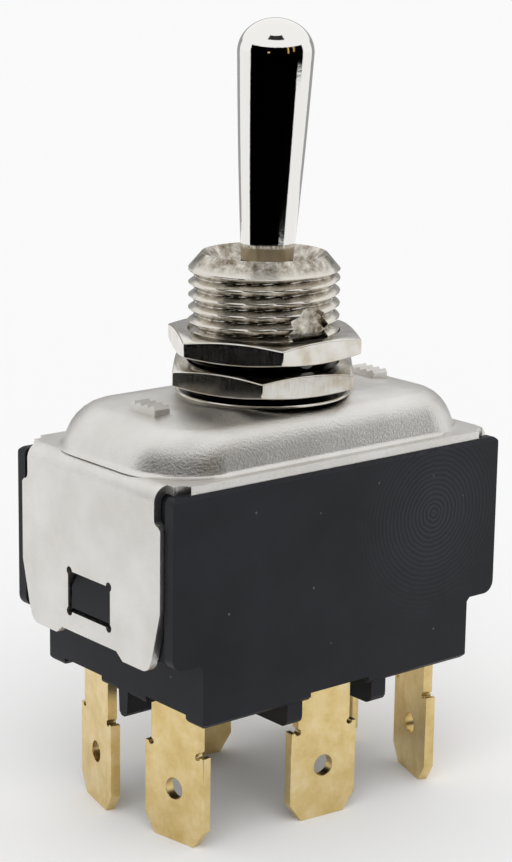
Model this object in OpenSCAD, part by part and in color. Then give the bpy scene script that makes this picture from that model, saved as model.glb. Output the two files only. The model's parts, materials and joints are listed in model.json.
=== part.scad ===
// Panel toggle switch, two poles with six blade terminals, in millimetres.
// The origin lies on the bushing axis at the upper nut's top face, with +Z along the bushing.
// X runs along the long sides, which is also the way the lever swings.

/* [Bushing and nuts] */
// Diameter over the bushing thread
thread_d = 11.9; // [11.5:0.1:12.5]
// Length of bushing that stands above the upper nut
bushing_rise = 6; // [5:0.1:8]
// Diameter of the sharp rim round the mouth
mouth_d = 9.8; // [9.4:0.1:10.2]
// Length of the chamfer outside the mouth
mouth_chamfer = 1.2; // [0.8:0.1:1.6]
// Depth of the countersink inside the mouth
mouth_sink = 1.7; // [1:0.1:2.2]
// Diameter of the bore that the lever ball sits in
bore_d = 7.2; // [7:0.1:7.6]
// Diameter of the bushing flange on the cover
flange_d = 13.9; // [13:0.1:15]
// Thickness of the bushing flange
flange_t = 0.22; // [0.15:0.01:0.4]
// Width of the keyway in the thread
keyway_w = 3.5; // [2.4:0.1:3.6]
// Depth of the keyway
keyway_deep = 0.8; // [0.5:0.1:1]
// Height of the keyway's round end above the upper nut
keyway_rise = 2.4; // [2:0.1:4]
// Width across flats of both nuts
nut_af = 14; // [13.6:0.1:15]
// Thickness of each nut
nut_h = 1.8; // [1.6:0.1:2.2]
// Drop of the chamfer at a nut's corners
nut_bevel = 0.36; // [0.2:0.02:0.5]
// Gap left between the two nuts
nut_gap = 0.72; // [0.4:0.02:2]
// Gap between the lower nut and the cover
nut_lift = 0.7; // [0.5:0.02:1.2]
// Turn of the upper nut about the bushing
upper_turn = 1; // [0:1:59]
// Turn of the lower nut about the bushing
lower_turn = 50; // [0:1:59]

/* [Lever] */
// Length of the lever above the mouth rim
lever_rise = 18; // [15:0.5:22]
// Largest diameter of the bat-shaped head
head_d = 5.95; // [5:0.1:6.4]
// Length of the domed tip above the widest point
head_dome = 2.6; // [2:0.1:3.2]
// Diameter of the lever where it enters the mouth
neck_d = 4.1; // [3.6:0.1:4.4]
// Diameter of the pivot ball
ball_d = 7; // [6.6:0.05:7.1]
// Height of the pivot above the cover
pivot_rise = 3.5; // [3:0.1:4]
// Diameter of the stem below the ball
stem_d = 3; // [2.4:0.1:3.2]
// Diameter of the pivot pin
pivot_pin_d = 1.8; // [1.4:0.1:2]
// Lean of the lever as it rests, within its play
rest_lean = 2; // [0:0.5:3]

/* [Cover] */
// Thickness of the cover sheet
sheet = 0.65; // [0.5:0.05:0.8]
// Length of the cover over its two end flaps
cover_l = 33.7; // [33.4:0.1:34.5]
// Width of the cover rim along the long sides
rim_w = 19.4; // [19:0.1:19.8]
// Height of the dome above the rim
dome_h = 3.55; // [3.2:0.05:4]
// Length of the dome at its foot
dome_l = 32.4; // [32:0.1:32.6]
// Width of the dome at its foot
dome_w = 18.1; // [18:0.1:18.6]
// Radius of the dome's upper edges
dome_r = 3.8; // [3.2:0.05:4]
// Radius of the hollow round the dome's foot
foot_r = 0.6; // [0.4:0.05:0.8]
// Slope of the dome's flanks at the ends
dome_slope = 65; // [55:1:70]
// Reach of the dome's flanks at the long sides
side_reach = 2.85; // [2.6:0.05:3.4]
// Corner radius of the plateau
plateau_r = 2.1; // [1:0.1:4]
// Fall of the crowned plateau at its edge
dome_crown = 0.3; // [0.1:0.05:0.4]
// Outer radius of the bends above the flaps
bend_r = 1.2; // [1:0.1:1.4]
// Width of the end flaps
flap_w = 17.9; // [17:0.1:18.4]
// Length of the flaps below the rim's top face
flap_h = 14.35; // [13.6:0.05:15]
// Width of the latch window
window_w = 5.5; // [4:0.1:6]
// Height of the latch window
window_h = 3.25; // [2.6:0.05:3.6]
// Distance from the rim's top face to the window
window_drop = 8.95; // [8:0.05:9.2]
// Distance of the anti-turn bumps from the bushing axis
bump_x = 11.15; // [10.8:0.05:11.2]
// Number of teeth on each anti-turn bump
bump_teeth = 4; // [3:1:5]
// Height of the anti-turn teeth
bump_h = 0.5; // [0.3:0.05:0.7]

/* [Base] */
// Distance that the ears stop short of the end flaps' outer faces
ear_back = 0.35; // [0.2:0.05:0.5]
// Width of the base
base_w = 20.1; // [19.9:0.1:20.6]
// Height of the side plates
plate_h = 13.1; // [12.8:0.1:14]
// Length of the lower block
block_l = 27.2; // [27:0.1:28]
// Height of the lower block below the plates
block_h = 4.5; // [4:0.1:5.5]
// Thickness of the base side walls
side_wall = 1.45; // [1.3:0.05:1.6]
// Thickness of the base end walls
end_wall = 1.55; // [1.4:0.05:1.7]
// Height of the rails under the long sides
rail_h = 0.62; // [0.4:0.02:0.8]
// Height of the barrier ribs under the base
rib_h = 2.5; // [1.8:0.1:3]
// Thickness of the lengthwise barrier rib
rib_t = 1; // [0.8:0.1:1.4]
// Distance of the crosswise barrier ribs from the middle
cross_rib_x = 4.35; // [4.2:0.05:4.8]
// Thickness of the crosswise barrier ribs
cross_rib_t = 1.5; // [1.2:0.1:1.7]
// Thickness of the insulating sheet under the cover
insulator_t = 0.5; // [0.3:0.05:0.6]

/* [Terminals] */
// Width of the terminal blades
tab_w = 6.3; // [5.6:0.1:6.4]
// Thickness of the terminal strip
tab_t = 0.8; // [0.6:0.05:0.9]
// Length of the terminals below the base
tab_out = 11.55; // [10:0.05:14]
// Length of the wide blade below its shoulders
blade_l = 7.55; // [7:0.05:8.5]
// Width of the neck above the shoulders
neck_w = 5; // [4:0.1:5.2]
// Diameter of the wire hole
wire_hole_d = 1.75; // [1.4:0.05:2]
// Distance from the blade tip to the wire hole
wire_hole_up = 4.3; // [4:0.05:5]
// Distance of each pole's first end terminal from the middle
first_tab_x = 11.95; // [11.8:0.05:12.2]
// Distance of each pole's second end terminal from the middle
second_tab_x = 12.25; // [12:0.05:12.3]
// Distance of the poles from the middle
pole_y = 5.2; // [5:0.05:5.4]
// Offset of the first end terminals from their pole, towards the middle
first_tab_in = 0.35; // [0:0.05:0.4]
// Offset of the front pole's second end terminal, away from the middle
front_tab_out = 0.5; // [0:0.05:0.5]
// Offset of the rear pole's second end terminal, towards the middle
rear_tab_in = 0.3; // [0:0.05:0.4]
// Distance of the middle terminals from the base's long sides
mid_tab_in = 2.15; // [2.05:0.05:2.35]
// Turn of the first end terminal of each pole
first_toe = 8; // [0:1:10]
// Turn of the front pole's second end terminal
front_toe = -19; // [-20:1:0]
// Turn of the rear pole's second end terminal
rear_toe = -14; // [-20:1:0]
// Turn of the middle terminals
mid_toe = -5; // [-6:1:6]

/* [Contacts] */
// Thickness of the rocking contact arms
rocker_t = 0.8; // [0.6:0.05:1]
// Length of the rocking contact arms
rocker_l = 20; // [19:0.5:20.5]
// Width of the rocking contact arms
rocker_w = 3.6; // [3:0.1:3.8]
// Radius of the ridge that a rocking arm tilts on
ridge_r = 0.7; // [0.5:0.05:0.9]
// Diameter of the silver contacts
contact_d = 2.6; // [2:0.1:2.8]
// Height of each silver contact
contact_h = 0.6; // [0.4:0.05:0.7]
// Distance of the contacts from the ends of their arm
contact_in = 1.5; // [1.4:0.05:2]
// Diameter of the plungers
plunger_d = 2.4; // [2:0.1:2.6]
// Wire diameter of the plunger springs
spring_wire = 0.3; // [0.2:0.05:0.35]
// Turns of each plunger spring
spring_turns = 5; // [4:1:6]

/* [Hidden] */
$fn = 72;

// Running gap of the pivot, gap of a pushed-in fit, and gap between loose neighbours
run_gap = 0.05;
fit_gap = 0.03;
loose_gap = 0.1;
// Overshoot of a cutting solid past the face it opens
cut = 1;

// Heights, from the upper nut downwards
z_plateau = -(nut_h + nut_gap + nut_h + nut_lift);
z_rim = z_plateau - dome_h;
z_top = z_rim - sheet;
z_step = z_top - plate_h;
z_block = z_step - block_h;
z_tip = z_block - tab_out;
z_shoulder = z_tip + blade_l;
z_mouth = bushing_rise;
z_pivot = z_plateau + pivot_rise;

// Half sizes of the outer forms
thread_r = thread_d / 2;
flap_x = cover_l / 2;
wall_x = flap_x - sheet - loose_gap;
half_w = base_w / 2;
mid_tab_y = half_w - mid_tab_in;
cavity_x = wall_x - end_wall;
cavity_y = half_w - side_wall;

// Flank of the dome: straight length between its two rounds, and its whole reach at the ends
rounds = dome_r + foot_r;
flank_l = (dome_h - dome_crown - rounds * (1 - cos(dome_slope))) / sin(dome_slope);
dome_reach = rounds * sin(dome_slope) + flank_l * cos(dome_slope);
crown_reach = 2.4;

// Bushing tail under the cover
tail_r = thread_r - 0.95;
stake_t = 0.7;

// Pin length, kept under the thread crests
pivot_pin_l = thread_d - 1.2;

// Throw of the lever to either side of upright, and how far an arm tilts with it
lever_throw = 12;
rocker_ratio = 2 / 3;
rocker_tilt = lever_throw * rocker_ratio;

// Actuator, hung on the stem under the insulating sheet
insulator_ledge = 0.5;
z_insulator = z_top - insulator_t;
actuator_top = z_insulator - 0.95;
actuator_h = 4.2;
actuator_l = 2 * pole_y + 4;
actuator_w = 4.4;
actuator_pin_d = 1;
stem_end = actuator_top - actuator_h + 1;

// Plunger and rocking arm, from the actuator downwards
plunger_out = 2.8;
rocker_top = actuator_top - actuator_h - plunger_out;
ridge_z = rocker_top - rocker_t - run_gap - ridge_r;
spring_room = 2.6;
plunger_head = 1;

// Fixed contacts lie where the tilted arm's own contacts come down
contact_x = rocker_l / 2 - contact_in;
contact_face = rocker_top - rocker_t - contact_h - ridge_z;
contact_edge = contact_x + contact_d / 2;
fixed_top = ridge_z - contact_edge * sin(rocker_tilt) + contact_face * cos(rocker_tilt) - loose_gap;
shelf_top = fixed_top - contact_h;
z_floor = shelf_top - tab_t;

// Place and turn of a pole's end terminals, before a rear pole is turned half round
function end_tab_place(rear, side) = side < 0
    ? [-first_tab_x, first_tab_in - pole_y, 0]
    : [second_tab_x, (rear ? rear_tab_in : -front_tab_out) - pole_y, 0];
function end_tab_turn(rear, side) = side < 0 ? first_toe : rear ? rear_toe : front_toe;

// Points of an arc in the plane, from one angle to another
function arc(r, from, to, centre = [0, 0], steps = 12) = [
    for (i = [0 : steps])
        let (a = from + (to - from) * i / steps)
        [centre[0] + r * cos(a), centre[1] + r * sin(a)]
];

// Outline of half a turned solid, mirrored across the axis
function mirrored(points) = concat(points, [for (i = [len(points) - 1 : -1 : 0]) [-points[i][0], points[i][1]]]);

// Turns a part of the lever about the pivot to where the lever rests
module leaned() {
    translate([0, 0, z_pivot]) rotate([0, rest_lean, 0]) translate([0, 0, -z_pivot]) children();
}

// Turns a part of a rocking arm about its ridge to where it rests
module tilted() {
    translate([0, 0, ridge_z]) rotate([0, -rest_lean * rocker_ratio, 0]) translate([0, 0, -ridge_z]) children();
}

// Places a part of the front pole, or of the rear pole turned half round
module pole(rear) {
    rotate([0, 0, rear ? 180 : 0]) children();
}

// Extrudes an outline of X and Z along Y, centred
module along_y(width) {
    rotate([90, 0, 0]) linear_extrude(width, center = true) children();
}

// Extrudes an outline of Y and Z along X, centred
module along_x(length) {
    rotate([90, 0, 90]) linear_extrude(length, center = true) children();
}

module bushing() {
    flange_r = flange_d / 2;
    mouth_r = mouth_d / 2;
    bore_r = bore_d / 2;
    stake_r = tail_r + 0.7;
    z_stake = z_plateau - sheet - dome_crown;
    z_tail = z_stake - stake_t;
    color("gainsboro") difference() {
        rotate_extrude() polygon([
            [bore_r, z_tail], [tail_r, z_tail], [stake_r, z_tail + 0.2], [stake_r, z_stake],
            [tail_r, z_stake], [tail_r, z_plateau], [flange_r, z_plateau],
            [flange_r, z_plateau + flange_t], [thread_r, z_plateau + flange_t],
            [thread_r, z_mouth - mouth_chamfer], [mouth_r, z_mouth], [bore_r, z_mouth - mouth_sink]
        ]);
        // Keyway with a round end, open downwards to the flange
        keyway();
        // Cross hole for the pivot pin
        translate([0, 0, z_pivot]) rotate([90, 0, 0])
            cylinder(d = pivot_pin_d + 2 * fit_gap, h = thread_d + cut, center = true);
    }
}

module keyway() {
    floor_y = -(thread_r - keyway_deep);
    top = keyway_rise - keyway_w / 2;
    translate([0, floor_y, top]) rotate([90, 0, 0]) cylinder(d = keyway_w, h = cut + keyway_deep);
    translate([-keyway_w / 2, floor_y - keyway_deep - cut, z_plateau + flange_t])
        cube([keyway_w, keyway_deep + cut, top - z_plateau - flange_t]);
}

// A thin hexagon nut with both faces chamfered
module hex_nut(z, turn) {
    flat_r = nut_af / 2;
    corner_r = flat_r / cos(30);
    bore_r = thread_r + fit_gap;
    translate([0, 0, z]) rotate([0, 0, turn]) intersection() {
        difference() {
            cylinder(r = corner_r, h = nut_h, $fn = 6);
            translate([0, 0, -cut]) cylinder(r = bore_r, h = nut_h + 2 * cut);
        }
        rotate_extrude() polygon([
            [0, 0], [flat_r - nut_bevel / 2, 0], [corner_r, nut_bevel],
            [corner_r, nut_h - nut_bevel], [flat_r - nut_bevel / 2, nut_h], [0, nut_h]
        ]);
    }
}

module lower_nut() {
    color("silver") hex_nut(z_plateau + nut_lift, lower_turn);
}

module upper_nut() {
    color("silver") hex_nut(-nut_h, upper_turn);
}

// Bat lever: domed head, taper, ball and stem, turned in one piece
module lever() {
    head_r = head_d / 2;
    neck_r = neck_d / 2;
    ball_r = ball_d / 2;
    stem_r = stem_d / 2;
    z_widest = z_mouth + lever_rise - head_dome;
    z_neck = z_mouth - 0.6;
    ball_top = acos(neck_r / ball_r);
    ball_low = acos(stem_r / ball_r);
    belly = 0.06;
    dome = [for (a = [90 : -7.5 : 0]) [head_r * cos(a), z_widest + head_dome * sin(a)]];
    taper = [for (i = [1 : 8])
        let (t = i / 8)
        [head_r + (neck_r - head_r) * t + belly * sin(180 * t), z_widest + (z_neck - z_widest) * t]];
    ball = arc(ball_r, ball_top, -ball_low, [0, z_pivot], 20);
    stem = [[stem_r, stem_end + 0.3], [stem_r - 0.3, stem_end], [0, stem_end]];
    color("whitesmoke") leaned() difference() {
        rotate_extrude() polygon(concat(dome, taper, ball, stem));
        translate([0, 0, z_pivot]) rotate([90, 0, 0])
            cylinder(d = pivot_pin_d + 2 * run_gap, h = ball_d + cut, center = true);
        translate([0, 0, actuator_top - actuator_h / 2]) rotate([0, 90, 0])
            cylinder(d = actuator_pin_d + 2 * fit_gap, h = stem_d + cut, center = true);
    }
}

module pivot_pin() {
    color("lightsteelblue") translate([0, 0, z_pivot]) rotate([90, 0, 0])
        cylinder(d = pivot_pin_d, h = pivot_pin_l, center = true);
}

// Reach and drop of the rounded upper edge, for the sheet's outer face or, with an inset, its inner face
function edge_profile(inset) = [
    for (a = [0 : dome_slope / 6 : dome_slope + 0.01])
        [(dome_r - inset) * sin(a), dome_crown + dome_r - (dome_r - inset) * cos(a)]
];

// Reach and drop of the hollow foot, from the flank down to the rim
function foot_profile(inset) = [
    for (a = [dome_slope : -dome_slope / 3 : -0.01])
        [dome_reach - (foot_r + inset) * sin(a), dome_h - foot_r + (foot_r + inset) * cos(a)]
];

// Thin level slice of the dome, a rectangle with round corners
module dome_slice(p) {
    share = side_reach / dome_reach;
    r = max(plateau_r + p[0] * (1 + share) / 2, 0.5);
    x = dome_l / 2 - dome_reach + p[0] - r;
    y = dome_w / 2 - side_reach + p[0] * share - r;
    for (sx = [-1, 1], sy = [-1, 1])
        translate([sx * x, sy * y, z_plateau - p[1] - 0.01]) cylinder(r = r, h = 0.01, $fn = 48);
}

// Solid dome, as the outer face of the sheet or, with an inset, as its inner face
module dome(inset) {
    foot = foot_profile(inset);
    hull() {
        dome_slice([-crown_reach, inset]);
        for (p = edge_profile(inset)) dome_slice(p);
        dome_slice(foot[0]);
    }
    hull() {
        dome_slice(foot[0]);
        dome_slice(foot[1]);
    }
    hull() {
        dome_slice(foot[1]);
        dome_slice(foot[3] + [0, 0.01]);
    }
}

// Half of the flap's outline, from the bend down to the middle
function flap_half() =
    let (w = flap_w / 2, top = z_rim - bend_r, low = z_rim - flap_h, neck = w - 0.75)
    concat(
        [[0, top], [neck, top], [neck, top - 0.6]],
        arc(0.5, 180, 270, [w - 0.25, top - 1.2], 4),
        [[w, top - 1.95], [w, low + 4.9], [w - 1, low + 1]],
        arc(1, 0, -90, [w - 2.1, low + 1], 6),
        [[w - 4.6, low], [w - 5.4, low + 0.6], [0, low + 0.6]]
    );

module flap_outline() {
    polygon(mirrored(flap_half()));
}

// Latch window with small round reliefs at its corners
module window_outline() {
    y = window_w / 2;
    z_high = z_rim - window_drop;
    z_low = z_high - window_h;
    relief_r = 0.35;
    translate([-y, z_low]) square([window_w, window_h]);
    for (sy = [-1, 1], z = [z_low, z_high])
        translate([sy * (y - relief_r / 2), z]) circle(r = relief_r, $fn = 24);
}

// Raised teeth that bite into the panel
module anti_turn_bump() {
    pitch = 3.2 / bump_teeth;
    low = -0.05 - dome_crown;
    rotate([90, 0, 90]) linear_extrude(1.45, center = true)
        translate([-1.6, 0]) polygon(concat(
            [[0, low]],
            [for (i = [0 : bump_teeth - 1]) each
                [[i * pitch, bump_h * 0.4], [i * pitch + pitch * 0.25, bump_h], [(i + 1) * pitch, bump_h * 0.55]]],
            [[3.2, low]]
        ));
}

module cover() {
    bend_w = flap_w - 1.5;
    bend_x = flap_x - bend_r;
    color("lightgray") difference() {
        union() {
            dome(0);
            translate([-bend_x, -rim_w / 2, z_rim - sheet]) cube([2 * bend_x, rim_w, sheet]);
            for (s = [-1, 1]) {
                // Bend: a quarter of a tube
                intersection() {
                    translate([s * bend_x, 0, z_rim - bend_r]) rotate([90, 0, 0]) difference() {
                        cylinder(r = bend_r, h = bend_w, center = true);
                        cylinder(r = bend_r - sheet, h = bend_w + cut, center = true);
                    }
                    translate([s * (bend_x + bend_r), 0, z_rim])
                        cube([2 * bend_r, bend_w + cut, 2 * bend_r], center = true);
                }
                translate([s * (flap_x - sheet / 2), 0, 0]) along_x(sheet) difference() {
                    flap_outline();
                    window_outline();
                }
                translate([s * bump_x, 0, z_plateau]) anti_turn_bump();
            }
        }
        dome(sheet);
        translate([0, 0, z_plateau - 2 * sheet]) cylinder(r = tail_r + fit_gap, h = 3 * sheet);
        // Relief notches where the rim meets the bends
        for (sx = [-1, 1], sy = [-1, 1])
            translate([sx * (bend_x - 0.3), sy * rim_w / 2, z_rim]) cylinder(r = 0.75, h = 3 * sheet, center = true);
    }
}

// Side outline of the base, in X and Z
module base_side() {
    ear = flap_x - ear_back;
    block = block_l / 2;
    low = z_block - rail_h;
    polygon(mirrored(concat(
        [[0, z_top]],
        arc(0.5, 90, 0, [ear - 0.5, z_top - 0.5], 6),
        arc(1, 0, -90, [ear - 1, z_step + 1], 8),
        [[block + 0.3, z_step], [block, z_step - 0.3]],
        arc(0.4, 0, -90, [block - 0.4, low + 0.4], 5),
        [[0, low]]
    )));
}

// End outline of the base, in Y and Z, with the rails and the thicker middle underneath
module base_end() {
    bevel = 0.28;
    rail_w = 2.1;
    spine_w = 2.9;
    polygon(mirrored([
        [0, z_top], [half_w - bevel, z_top], [half_w, z_top - bevel], [half_w, z_block - rail_h + 0.3],
        [half_w - 0.3, z_block - rail_h], [half_w - rail_w + 0.3, z_block - rail_h],
        [half_w - rail_w, z_block - rail_h + 0.3], [half_w - rail_w, z_block], [spine_w, z_block],
        [spine_w, z_block - rail_h], [0, z_block - rail_h]
    ]));
}

// Barrier ribs between the terminals, with slightly rounded lower edges
module barrier_ribs() {
    low = z_block - rib_h;
    edge = 0.3;
    along_x(block_l) polygon([
        [-rib_t / 2 - 0.2, z_block + cut], [-rib_t / 2, low + edge], [-rib_t / 2 + edge, low],
        [rib_t / 2 - edge, low], [rib_t / 2, low + edge], [rib_t / 2 + 0.2, z_block + cut]
    ]);
    for (s = [-1, 1])
        translate([s * cross_rib_x, 0, 0]) along_x(cross_rib_t) polygon(mirrored(concat(
            [[0, z_block + cut], [half_w - 0.3, z_block + cut]],
            arc(0.7, 0, -90, [half_w - 1, low + 0.7], 5),
            [[0, low]]
        )));
}

// Latch that snaps into the cover's window, with a sloped top
module latch() {
    w = window_w - 2 * 0.3;
    z_high = z_rim - window_drop - 0.2;
    z_low = z_high - window_h + 0.5;
    along_y(w) polygon([
        [wall_x - cut, z_high + 0.2], [wall_x, z_high], [flap_x - 0.15, z_high - 1],
        [flap_x - 0.15, z_low], [wall_x - cut, z_low]
    ]);
}

module base_housing() {
    slot_h = z_floor - z_block + 2 * cut;
    slot_gap = 2 * fit_gap;
    color([0.16, 0.165, 0.18]) difference() {
        union() {
            intersection() {
                along_y(base_w) base_side();
                along_x(cover_l + cut) base_end();
            }
            barrier_ribs();
            for (turn = [0, 180]) rotate([0, 0, turn]) latch();
        }
        // Recesses between the ears, which take the flaps
        for (s = [-1, 1]) difference() {
            translate([s * (wall_x + sheet), 0, (z_top + z_step) / 2])
                cube([2 * sheet, flap_w + 2 * loose_gap, plate_h + 2 * cut], center = true);
            rotate([0, 0, s > 0 ? 0 : 180]) latch();
        }
        // Rounded-off edges under the bends
        for (s = [-1, 1])
            along_y(flap_w + 2 * loose_gap) polygon([
                [s * (wall_x - bend_r / 2), z_top + cut], [s * (wall_x - bend_r / 2), z_top],
                [s * wall_x, z_top - bend_r / 2], [s * (wall_x + cut), z_top - bend_r / 2],
                [s * (wall_x + cut), z_top + cut]
            ]);
        // Cavity, with a wall left standing between the poles
        difference() {
            translate([-cavity_x, -cavity_y, z_floor]) cube([2 * cavity_x, 2 * cavity_y, z_top - z_floor + cut]);
            translate([-cavity_x - cut, -rib_t / 2, z_floor - cut])
                cube([2 * (cavity_x + cut), rib_t, rocker_top - z_floor + cut + 1.2]);
        }
        // Ledge for the insulating sheet
        translate([-cavity_x - insulator_ledge, -cavity_y - insulator_ledge, z_insulator])
            cube([2 * (cavity_x + insulator_ledge), 2 * (cavity_y + insulator_ledge), insulator_t + cut]);
        // Notches in the rails beside the middle terminals
        for (s = [-1, 1])
            translate([0, s * (half_w - 1), z_block - cut])
                cube([2 * (cross_rib_x - cross_rib_t / 2) - 1.2, 4, 2 * cut], center = true);
        // Slots for the terminal necks
        for (rear = [false, true]) pole(rear) {
            for (s = [-1, 1])
                translate(end_tab_place(rear, s)) translate([0, 0, z_block - cut + slot_h / 2])
                    rotate([0, 0, end_tab_turn(rear, s)])
                        cube([tab_t + slot_gap, neck_w + slot_gap, slot_h], center = true);
            translate([0, -mid_tab_y, z_block - cut + slot_h / 2]) rotate([0, 0, mid_toe])
                cube([neck_w + slot_gap, tab_t + slot_gap, slot_h], center = true);
        }
    }
}

// Insulating sheet with a slot for the swinging stem
module insulator_sheet() {
    slot_x = stem_d / 2 + 2.6;
    slot_y = stem_d / 2 + 0.5;
    x = cavity_x + insulator_ledge - loose_gap;
    y = cavity_y + insulator_ledge - loose_gap;
    color("burlywood") translate([0, 0, z_insulator]) linear_extrude(insulator_t) difference() {
        translate([-x, -y]) square([2 * x, 2 * y]);
        translate([-slot_x, -slot_y]) square([2 * slot_x, 2 * slot_y]);
    }
}

// Moulded crosspiece on the stem that carries the two plungers
module actuator() {
    w = actuator_w / 2;
    round_r = 1;
    color("saddlebrown") leaned() difference() {
        along_y(actuator_l) polygon(mirrored(concat(
            [[0, actuator_top]],
            arc(round_r, 90, 0, [w - round_r, actuator_top - round_r], 5),
            [[w, actuator_top - actuator_h], [0, actuator_top - actuator_h]]
        )));
        translate([0, 0, stem_end - loose_gap]) cylinder(d = stem_d + 2 * fit_gap, h = actuator_h);
        translate([0, 0, actuator_top - actuator_h / 2]) rotate([0, 90, 0])
            cylinder(d = actuator_pin_d + 2 * fit_gap, h = actuator_w + cut, center = true);
        for (s = [-1, 1])
            translate([0, s * pole_y, actuator_top - actuator_h - cut])
                cylinder(d = plunger_d + 2 * run_gap, h = cut + spring_room + plunger_head);
    }
}

module actuator_pin() {
    color("lightsteelblue") leaned() translate([0, 0, actuator_top - actuator_h / 2]) rotate([0, 90, 0])
        cylinder(d = actuator_pin_d, h = actuator_w, center = true);
}

// Round-nosed plunger that slides in the actuator
module plunger(rear) {
    r = plunger_d / 2;
    z_nose = rocker_top + run_gap;
    z_back = actuator_top - actuator_h + plunger_head;
    color("darkgoldenrod") leaned() pole(rear) translate([0, -pole_y, 0]) rotate_extrude() polygon(concat(
        arc(r, -90, 0, [0, z_nose + r], 10),
        [[r, z_back], [0, z_back]]
    ));
}

// Compression spring between the plunger and the actuator, one closed sweep along a helix
module plunger_spring(rear) {
    z_low = actuator_top - actuator_h + plunger_head + spring_wire / 2 + fit_gap;
    z_high = z_low + spring_room - spring_wire - 2 * fit_gap;
    coil_r = plunger_d / 2 - spring_wire / 2 - fit_gap;
    rings = spring_turns * 20;
    sides = 6;
    points = [for (i = [0 : rings], j = [0 : sides - 1])
        let (t = i / rings * spring_turns * 360, a = j * 360 / sides, r = coil_r + spring_wire / 2 * cos(a))
        [r * cos(t), r * sin(t), z_low + (z_high - z_low) * i / rings + spring_wire / 2 * sin(a)]];
    walls = [for (i = [0 : rings - 1], j = [0 : sides - 1])
        let (k = (j + 1) % sides)
        [i * sides + j, i * sides + k, (i + 1) * sides + k, (i + 1) * sides + j]];
    ends = [[for (j = [sides - 1 : -1 : 0]) j], [for (j = [0 : sides - 1]) rings * sides + j]];
    color("slategray") leaned() pole(rear) translate([0, -pole_y, 0])
        polyhedron(points, concat([for (w = walls) [w[3], w[2], w[1], w[0]]], [for (e = ends) [for (j = [len(e) - 1 : -1 : 0]) e[j]]]));
}

// Rocking contact arm with a half-round saddle that sits on the terminal's ridge
module rocker(rear) {
    saddle_r = ridge_r + run_gap;
    lip = 0.55;
    color("orange") pole(rear) pole_tilt(rear) translate([0, -pole_y, 0]) difference() {
        union() {
            translate([-rocker_l / 2, -rocker_w / 2, rocker_top - rocker_t]) cube([rocker_l, rocker_w, rocker_t]);
            translate([0, 0, ridge_z]) rotate([90, 0, 0]) cylinder(r = saddle_r + lip, h = rocker_w, center = true);
        }
        translate([0, 0, ridge_z]) rotate([90, 0, 0]) cylinder(r = saddle_r, h = rocker_w + cut, center = true);
        translate([-2, -rocker_w, ridge_z - 4]) cube([4, 2 * rocker_w, 4]);
        // The saddle's top is flattened to the arm's own thickness
        translate([-2, -rocker_w, rocker_top]) cube([4, 2 * rocker_w, 4]);
    }
}

// The rear arm is turned half round, so it tilts the other way in its own pole
module pole_tilt(rear) {
    rotate([0, 0, rear ? 180 : 0]) tilted() rotate([0, 0, rear ? 180 : 0]) children();
}

module rocker_contacts(rear) {
    color("whitesmoke") pole(rear) pole_tilt(rear) for (s = [-1, 1])
        translate([s * contact_x, -pole_y, rocker_top - rocker_t - contact_h])
            cylinder(d1 = contact_d - 0.4, d2 = contact_d, h = contact_h);
}

// Blade outline below the shoulders and neck above, in width and Z
module tab_outline(z_neck) {
    w = tab_w / 2;
    neck = neck_w / 2;
    tip_x = 1.1;
    tip_z = 1.5;
    difference() {
        polygon(mirrored([
            [0, z_neck], [neck, z_neck], [neck, z_shoulder], [w, z_shoulder],
            [w, z_tip + tip_z], [w - tip_x, z_tip], [0, z_tip]
        ]));
        translate([0, z_tip + wire_hole_up]) circle(d = wire_hole_d, $fn = 48);
        for (s = [-1, 1]) translate([s * neck, z_shoulder]) circle(r = 0.25, $fn = 24);
    }
}

// Terminal at the end of a pole: blade, neck and the shelf that holds the fixed contact
module end_terminal(rear, side) {
    place = end_tab_place(rear, side);
    tab_x = abs(place[0]);
    shelf_in = contact_x - contact_d / 2 - 0.2;
    color("khaki") pole(rear) {
        translate(place) rotate([0, 0, end_tab_turn(rear, side)]) along_x(tab_t) tab_outline(shelf_top);
        translate([min(side * shelf_in, side * tab_x), -pole_y - rocker_w / 2, z_floor])
            cube([tab_x - shelf_in, rocker_w, tab_t]);
    }
}

// Middle terminal: blade, neck, and the shelf with the ridge that the arm rocks on
module middle_terminal(rear) {
    shelf_z = ridge_z - 0.35;
    shelf_y = pole_y - rocker_w / 2;
    color("khaki") pole(rear) {
        translate([0, -mid_tab_y, 0]) rotate([0, 0, mid_toe]) along_y(tab_t) tab_outline(shelf_z);
        translate([-1.6, -mid_tab_y - tab_t / 2, shelf_z - tab_t])
            cube([3.2, mid_tab_y + tab_t / 2 - shelf_y, tab_t]);
        translate([0, -shelf_y, ridge_z]) rotate([90, 0, 0]) cylinder(r = ridge_r, h = rocker_w);
    }
}

module fixed_contact(rear, side) {
    color("whitesmoke") pole(rear) translate([side * contact_x, -pole_y, shelf_top])
        cylinder(d1 = contact_d, d2 = contact_d - 0.4, h = contact_h);
}

base_housing();
cover();
bushing();
lower_nut();
upper_nut();
lever();
pivot_pin();
insulator_sheet();
actuator();
actuator_pin();
plunger(false);  // plunger_front
plunger(true);  // plunger_rear
plunger_spring(false);  // plunger_spring_front
plunger_spring(true);  // plunger_spring_rear
rocker(false);  // rocker_front
rocker(true);  // rocker_rear
rocker_contacts(false);  // rocker_contacts_front
rocker_contacts(true);  // rocker_contacts_rear
end_terminal(false, -1);  // terminal_front_left
middle_terminal(false);  // terminal_front_middle
end_terminal(false, 1);  // terminal_front_right
end_terminal(true, 1);  // terminal_rear_left
middle_terminal(true);  // terminal_rear_middle
end_terminal(true, -1);  // terminal_rear_right
fixed_contact(false, -1);  // fixed_contact_front_left
fixed_contact(false, 1);  // fixed_contact_front_right
fixed_contact(true, 1);  // fixed_contact_rear_left
fixed_contact(true, -1);  // fixed_contact_rear_right
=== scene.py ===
import json
import math

import bpy
from mathutils import Matrix, Vector

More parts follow.
